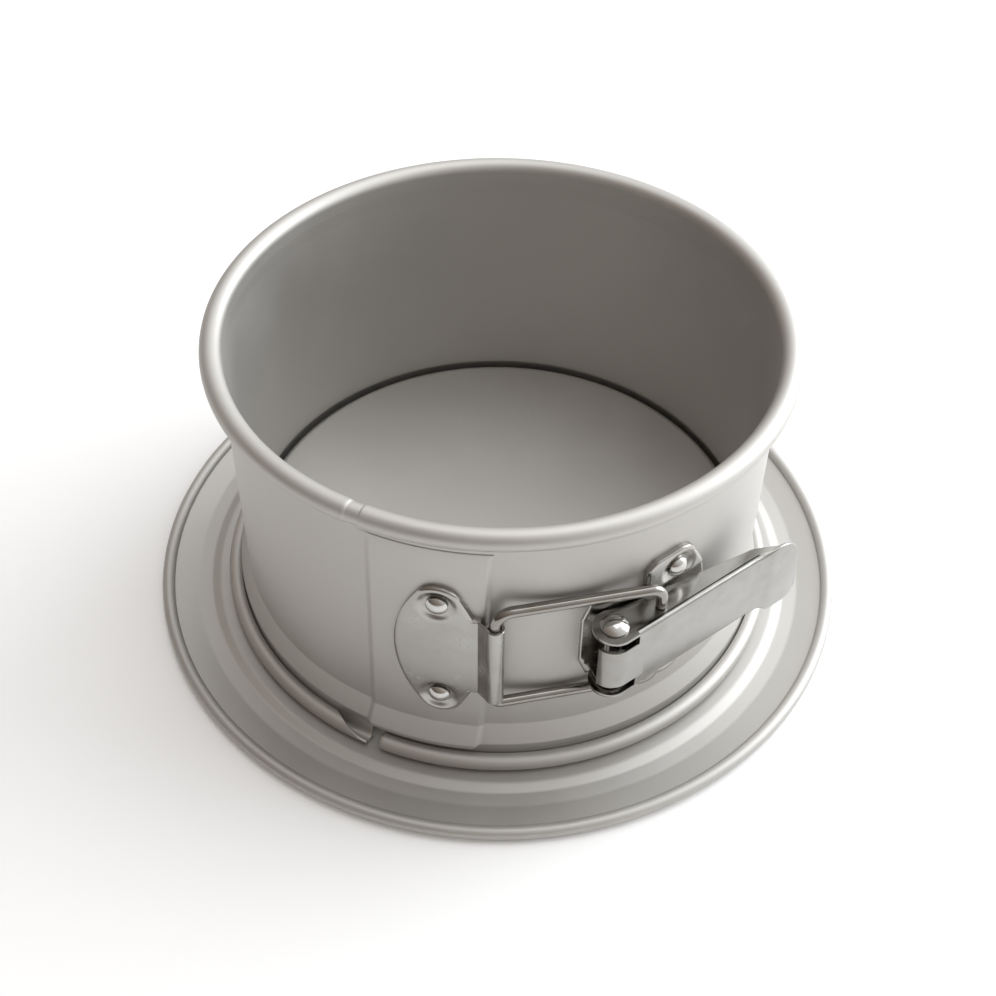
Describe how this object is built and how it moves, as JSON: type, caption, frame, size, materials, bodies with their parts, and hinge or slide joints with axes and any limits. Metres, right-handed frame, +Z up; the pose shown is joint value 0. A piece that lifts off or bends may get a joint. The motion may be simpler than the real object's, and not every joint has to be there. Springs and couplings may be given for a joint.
{
  "type": "springform pan",
  "caption": "Springform cake pan: straight-sided band with rolled beads, closed by a toggle latch, on a raised-floor base with a dished flange.",
  "frame": {"origin": "centre of the base's underside, on the pan's axis, at the level it rests on", "axes": "+Z up along the pan's axis, -Y towards the latch, +X to the right of someone facing the latch"},
  "size_m": [0.2096, 0.2096, 0.0948],
  "materials": {
    "base_aluminium": "matt anodised",
    "band_aluminium": "matt anodised",
    "plate_steel": "satin stainless",
    "lever_steel": "polished stainless",
    "wire_steel": "polished stainless",
    "rivet_steel": "polished stainless"
  },
  "bodies": {
    "base": {"base": "base_aluminium"},
    "band_right": {"band_right": "band_aluminium", "bracket": "plate_steel", "bracket_rivets": "rivet_steel", "pivot_rivet": "rivet_steel"},
    "band_left": {"band_left": "band_aluminium", "keeper": "plate_steel", "keeper_rivets": "rivet_steel"},
    "bail": {"bail": "wire_steel"},
    "lever": {"lever": "lever_steel"}
  },
  "joints": [
    {"name": "band_lift", "type": "slide", "parent": "base", "child": "band_right", "axis": [0, 0, 1], "range_m": [0, 0.1]},
    {"name": "lever_pivot", "type": "hinge", "parent": "band_right", "child": "lever", "pos_m": [0.0296, -0.0784, 0.049], "axis": [0, 0, -1], "range_deg": [0, 105]},
    {"name": "band_spring", "type": "hinge", "parent": "band_right", "child": "band_left", "pos_m": [0, 0.0843, 0.049], "axis": [0, 0, -1], "range_deg": [0, 2.86]},
    {"name": "bail_pivot", "type": "hinge", "parent": "band_left", "child": "bail", "pos_m": [-0.0004, -0.0811, 0.049], "axis": [0, 0, -1], "range_deg": [0, 24.8]}
  ],
  "couplings": [
    {"joint": "band_spring", "follows": "lever_pivot", "ratio": 0.027143},
    {"joint": "bail_pivot", "follows": "lever_pivot", "ratio": 0.23572}
  ]
}
